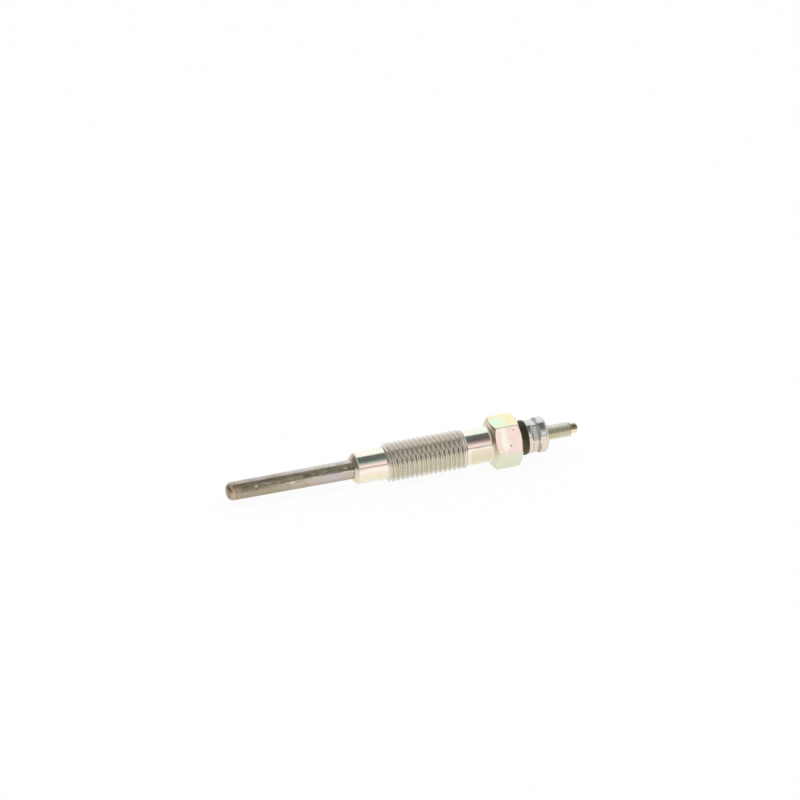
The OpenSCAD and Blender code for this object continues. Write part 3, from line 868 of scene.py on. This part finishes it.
# Pieces
class GLOWPLUG_OT_shell(bpy.types.Operator):
    """Turns the plated shell with its thread and hexagon"""

    bl_idname = "glowplug.shell"
    bl_label = "Plated shell"

    def execute(self, context):
        """A closed outline swept round the axis, a hexagon behind the shank and a helical thread."""
        plug = settings()
        size = plug.shell
        skin = Skin(COLUMNS["shell"])
        corner = hexagon(skin.angles, size.hex_apothem, size.hex_rounding)
        cut = (corner - size.hex_face_r) * math.tan(size.chamfer)
        crest = MOUNTS["engine_thread"]["dims"]["r_mm"] * MM
        root_r = crest - THREAD_DEPTH * size.pitch
        ease = size.ease
        front = [
            (size.tube_bore_r, size.mouth, ease / 2),
            (size.tube_bore_r + size.mouth, 0, ease / 3),
            (size.nose_r, 0, ease),
            (size.pilot_r, size.seat_len, 2 * ease),
            (size.pilot_r, size.pilot_len - ease, 0),
            (size.pilot_r, size.pilot_len, 0),
            (root_r, size.pilot_len, 0),
        ]
        rear = [
            (size.shank_r, size.thread_end, 0),
            (size.shank_r, size.thread_end + ease, 0),
            (size.shank_r, size.hex_front, size.foot),
            (size.hex_face_r, size.hex_front, ease),
            (corner, size.hex_front + cut, ease),
            (corner, size.hex_rear - cut, ease),
            (size.hex_face_r, size.hex_rear, ease),
            (size.gland_r, size.hex_rear, ease),
            (size.gland_r, size.gland_floor, ease),
            (size.stud_bore_r, size.gland_floor, ease),
            (size.stud_bore_r, size.grip_len, 0),
            (size.tube_bore_r, size.grip_len, 0),
        ]
        outline = eased(front + rear, len(skin.angles), EASE_STEPS)
        split = 1 + int(np.flatnonzero(outline[:, 0, 0] == root_r)[0])
        ahead = skin.rows(outline[:split, 0], outline[:split, 1])
        behind = skin.rows(outline[split:, 0], outline[split:, 1])
        skin.join(ahead)
        skin.join(np.vstack([behind, ahead[:1]]))

        def root(station):
            risen = (station - (size.thread_end - size.run_smooth - size.run_out)) / size.run_out
            return root_r + (crest - root_r) * np.clip(risen, 0, 1)

        def limit(station):
            falling = size.shank_r + size.thread_end - station
            return np.minimum(root_r + station - size.pilot_len, falling)

        start, end = (ahead[-1], size.pilot_len), (behind[0], size.thread_end)
        add_thread(skin, start, end, size.pitch, crest, root, limit)
        material = zinc_plate(plug.finish, size)
        add_piece("plated_shell", "body_shell", skin, material)
        return {"FINISHED"}


class GLOWPLUG_OT_sheath(bpy.types.Operator):
    """Draws the heater tube with its closed tip"""

    bl_idname = "glowplug.sheath"
    bl_label = "Heater sheath"

    def execute(self, context):
        """An outline from the middle of the tip's outside to that of its inside, swept round the axis."""
        plug = settings()
        size = plug.sheath
        skin = Skin(COLUMNS["sheath"])
        inner_r = size.outer_r - size.wall
        tip_r = size.outer_r - size.taper
        rear = plug.shell.grip_len
        crease = size.crease_at - size.reach
        outline = [
            (0, -size.reach, 0),
            (tip_r, -size.reach, size.shoulder),
            (tip_r, crease - size.crease_half, size.crease_half / 2),
            (tip_r - size.crease_depth, crease, size.crease_half / 2),
            (tip_r, crease + size.crease_half, size.crease_half / 2),
            (size.outer_r, 0, size.wall),
            (size.outer_r, rear, size.wall / 6),
            (inner_r, rear, size.wall / 6),
            (inner_r, size.end_wall - size.reach, size.inner_corner),
            (0, size.end_wall - size.reach, 0),
        ]
        numbers = skin.sweep(outline, steps=8)
        numbers[0] = numbers[0, 0]
        numbers[-1] = numbers[-1, 0]
        skin.join(numbers)
        material = heat_alloy(plug.finish, size)
        add_piece("heater_sheath", "glow_tube", skin, material)
        return {"FINISHED"}


class GLOWPLUG_OT_stud(bpy.types.Operator):
    """Turns the terminal stud and cuts its thread"""

    bl_idname = "glowplug.stud"
    bl_label = "Terminal stud"

    def execute(self, context):
        """An outline from the pin's end to the dog point, swept round the axis, with a helical thread."""
        plug = settings()
        size = plug.stud
        skin = Skin(COLUMNS["stud"])
        root_r = size.thread_r - THREAD_DEPTH * size.pitch
        front = [
            (0, -size.pin_front, 0),
            (size.pin_r, -size.pin_front, size.ease),
            (size.pin_r, -size.pin_rear, 0),
            (size.neck_r, -size.pin_rear, size.ease),
            (size.neck_r, size.neck_end, 0),
            (size.shaft_r, size.neck_end, size.ease),
            (size.shaft_r, size.thread_front, 0),
        ]
        rear = [
            (root_r, size.thread_rear, 0),
            (size.dog_r, size.thread_rear, 2 * size.ease),
            (size.dog_r, size.end - size.dog_chamfer, size.ease),
            (size.dog_r - size.dog_chamfer, size.end, size.ease),
            (0, size.end, 0),
        ]
        ahead, behind = skin.sweep(front), skin.sweep(rear)
        ahead[0] = ahead[0, 0]
        behind[-1] = behind[-1, 0]
        skin.join(ahead)
        skin.join(behind)

        def root(station):
            return np.maximum(root_r, size.shaft_r - (station - size.thread_front))

        def limit(station):
            rising = size.shaft_r + station - size.thread_front
            return np.minimum(rising, root_r + size.thread_rear - station)

        start, end = (ahead[-1], size.thread_front), (behind[0], size.thread_rear)
        add_thread(skin, start, end, size.pitch, size.thread_r, root, limit)
        material = stud_steel(plug.finish, size)
        add_piece("threaded_stud", "terminal_stud", skin, material)
        return {"FINISHED"}


class GLOWPLUG_OT_bush(bpy.types.Operator):
    """Moulds the black insulating bush"""

    bl_idname = "glowplug.bush"
    bl_label = "Insulating bush"

    def execute(self, context):
        """A closed outline of sleeve and flange, swept round the axis."""
        plug = settings()
        size = plug.bush
        skin = Skin(COLUMNS["bush"])
        ease = size.rounding / 4
        outline = [
            (size.hole_r, size.sleeve_front, ease),
            (size.sleeve_r, size.sleeve_front, ease),
            (size.sleeve_r, size.flange_front, ease),
            (size.flange_r, size.flange_front, size.rounding),
            (size.flange_r, size.flange_rear, size.rounding),
            (size.hole_r, size.flange_rear, ease),
        ]
        skin.close(skin.sweep(outline, steps=6))
        material = black_phenolic(plug.finish)
        add_piece("moulded_bush", "insulating_bush", skin, material)
        return {"FINISHED"}


class GLOWPLUG_OT_ring(bpy.types.Operator):
    """Presses the ring on to the stud with six jaws"""

    bl_idname = "glowplug.ring"
    bl_label = "Crimped ring"

    def execute(self, context):
        """A closed outline swept round the axis, with a hexagon for its waist and slopes beside it."""
        plug = settings()
        size = plug.ring
        skin = Skin(COLUMNS["ring"], size.jaw_turn)
        waist = hexagon(skin.angles, size.jaw_apothem, size.corner, size.jaw_turn)
        lean = np.cos(from_flat(skin.angles, size.jaw_turn)) / math.tan(size.jaw_slope)
        ease = size.ease
        outline = [
            (size.hole_r, size.front, ease / 2),
            (size.flange_r, size.front, ease),
            (size.flange_r, size.jaw_front - (size.flange_r - waist) * lean, ease),
            (waist, size.jaw_front, ease),
            (waist, size.jaw_rear, ease),
            (size.collar_r, size.jaw_rear + (size.collar_r - waist) * lean, ease),
            (size.collar_r, size.rear - size.chamfer, ease),
            (size.collar_r - size.chamfer, size.rear, ease),
            (size.hole_r, size.rear, ease / 2),
        ]
        skin.close(skin.sweep(outline, steps=6))
        material = bright_steel(plug.finish)
        add_piece("crimped_ring", "crimp_ring", skin, material)
        return {"FINISHED"}


class GLOWPLUG_OT_inside(bpy.types.Operator):
    """Gives the pieces inside the plug their materials"""

    bl_idname = "glowplug.inside"
    bl_label = "Inner pieces"

    def execute(self, context):
        finish = settings().finish
        wire = coil_wire(finish)
        powder = oxide_powder(finish)
        rubber = seal_rubber(finish)
        inner = {
            "heating_coil": wire,
            "control_coil": wire,
            "insulating_powder": powder,
            "tube_seal": rubber,
            "o_ring": rubber,
        }
        for node, material in inner.items():
            mesh = frame["nodes"][node].data
            mesh.materials.clear()
            mesh.materials.append(material)
        return {"FINISHED"}


class GLOWPLUG_OT_stage(bpy.types.Operator):
    """Sets the floor, the studio light and the camera"""

    bl_idname = "glowplug.stage"
    bl_label = "Stage"

    def execute(self, context):
        stage = settings().stage
        self.floor(context.scene, stage)
        self.studio(context.scene, stage)
        self.lamp(context.scene, stage)
        self.camera(context.scene, stage)
        context.scene.view_settings.view_transform = "Standard"
        return {"FINISHED"}

    def floor(self, scene, stage):
        """A white floor, part of whose white stays for the camera, so that its shadow is pale."""
        half = stage.floor_half
        mesh = bpy.data.meshes.new("floor")
        corners = [(-half, -half, 0), (half, -half, 0), (half, half, 0), (-half, half, 0)]
        mesh.from_pydata(corners, [], [(0, 1, 2, 3)])
        floor = bpy.data.objects.new("floor", mesh)
        scene.collection.objects.link(floor)
        material = bpy.data.materials.new("floor_white")
        paint = Wiring(material)
        white = paint.tree.nodes["Principled BSDF"]
        grey = (stage.floor_grey, stage.floor_grey, stage.floor_grey, 1)
        paint.feed(white, {"Base Color": grey, "Roughness": 1.0, "Specular IOR Level": 0.0})
        glow = paint.put("ShaderNodeEmission")
        ray = paint.put("ShaderNodeLightPath").outputs
        seen = paint.times(ray["Is Camera Ray"], stage.floor_glow)
        mirrored = paint.times(ray["Is Glossy Ray"], stage.floor_mirror)
        sockets = {0: paint.plus(seen, mirrored), 1: white.outputs[0], 2: glow.outputs[0]}
        blend = paint.put("ShaderNodeMixShader", sockets)
        paint.feed(paint.tree.nodes["Material Output"], {"Surface": blend.outputs[0]})
        mesh.materials.append(material)

    def studio(self, scene, stage):
        """White walls before and behind the plug, by the angle over the front horizon, and other ends.

        Between the walls is a dark opening overhead, whose front side fades, and a thin dark edge runs
        along the front wall. At the terminal's end the dark is low and in front. Towards the heater's
        end a plain wall closes the opening, and the end itself is dim.
        """
        scene.world = bpy.data.worlds.new("studio")
        sky = Wiring(scene.world)
        direction = sky.put("ShaderNodeTexCoord").outputs["Generated"]
        along, aside, up = sky.put("ShaderNodeSeparateXYZ", {0: direction}).outputs
        height = sky.math("ARCTAN2", up, sky.times(aside, -1.0))
        turn = sky.math("DIVIDE", height, math.pi)

        def grey(value, stops):
            return sky.ramp(value, [(place, (level,) * 3) for place, level in stops])

        def wall(value, stops, unit=1):
            levels = [stage.gap if share is OPEN else share * stage.studio for _, share in stops]
            return grey(value, [(place / unit, level) for (place, _), level in zip(stops, levels)])

        walls = wall(turn, FRONT_WALLS, HALF_TURN)
        walls = sky.mix(grey(along, TERMINAL_SHARE), walls, wall(turn, TERMINAL_WALLS, HALF_TURN))
        closed = grey(sky.plus(along, CLOSING), [(0, 1), (CLOSING, 0)])
        walls = sky.mix(closed, walls, wall(up, HEATER_WALL))
        heater = grey(sky.times(along, -1.0), HEATER_SHARE)
        walls = sky.mix(heater, walls, wall(up, HEATER_END))
        sky.feed(sky.tree.nodes["Background"], {"Color": walls})

    def lamp(self, scene, stage):
        """A large soft lamp overhead for the floor, which the metal doesn't mirror."""
        light = bpy.data.lights.new("overhead", "AREA")
        light.energy = stage.lamp_power
        light.shape = "DISK"
        light.size = stage.lamp_size
        lamp = bpy.data.objects.new("overhead", light)
        lamp.location = (0, 0, stage.lamp_height)
        lamp.visible_glossy = False
        scene.collection.objects.link(lamp)

    def camera(self, scene, stage):
        """The photograph's view: the aim is set off from the frame's origin across the line of sight."""
        a, e = stage.azimuth, stage.elevation
        right = Vector((math.cos(a), -math.sin(a), 0))
        ahead = Vector((math.sin(a) * math.cos(e), math.cos(a) * math.cos(e), -math.sin(e)))
        up = right.cross(ahead)
        data = bpy.data.cameras.new("photo_view")
        data.lens = stage.lens
        data.clip_end = stage.far_clip
        camera = bpy.data.objects.new("photo_view", data)
        aim = stage.aim_right * right + stage.aim_up * up
        turn = Matrix((right, up, -ahead)).transposed()
        camera.matrix_world = Matrix.Translation(aim - stage.distance * ahead) @ turn.to_4x4()
        scene.collection.objects.link(camera)
        scene.camera = camera


class GLOWPLUG_PT_panel(bpy.types.Panel):
    """Sizes, colours and builders of the glow plug"""

    bl_idname = "GLOWPLUG_PT_panel"
    bl_label = "Glow plug"
    bl_space_type = "VIEW_3D"
    bl_region_type = "UI"
    bl_category = "Glow plug"

    def draw(self, context):
        for operator in BUILDERS:
            self.layout.operator(operator.bl_idname)
        for group in PlugSettings.__annotations__:
            values = getattr(settings(), group)
            box = self.layout.box()
            box.label(text=group.capitalize())
            for name in type(values).__annotations__:
                box.prop(values, name)


SIZES = (ShellSizes, SheathSizes, StudSizes, BushSizes, RingSizes)
GROUPS = (*SIZES, Finish, StageSettings, PlugSettings)
BUILDERS = (
    GLOWPLUG_OT_shell,
    GLOWPLUG_OT_sheath,
    GLOWPLUG_OT_stud,
    GLOWPLUG_OT_bush,
    GLOWPLUG_OT_ring,
    GLOWPLUG_OT_inside,
    GLOWPLUG_OT_stage,
)
CLASSES = (*GROUPS, *BUILDERS, GLOWPLUG_PT_panel)


def register():
    for cls in CLASSES:
        bpy.utils.register_class(cls)
    bpy.types.Scene.glow_plug = bpy.props.PointerProperty(type=PlugSettings)


def unregister():
    del bpy.types.Scene.glow_plug
    for cls in reversed(CLASSES):
        bpy.utils.unregister_class(cls)


def main():
    """Registers the add-on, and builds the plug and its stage."""
    register()
    for builder in BUILDERS:
        group, name = builder.bl_idname.split(".")
        result = getattr(getattr(bpy.ops, group), name)()
        if result != {"FINISHED"}:
            raise RuntimeError(f"{builder.bl_idname} did not finish")


if __name__ == "__main__":
    main()
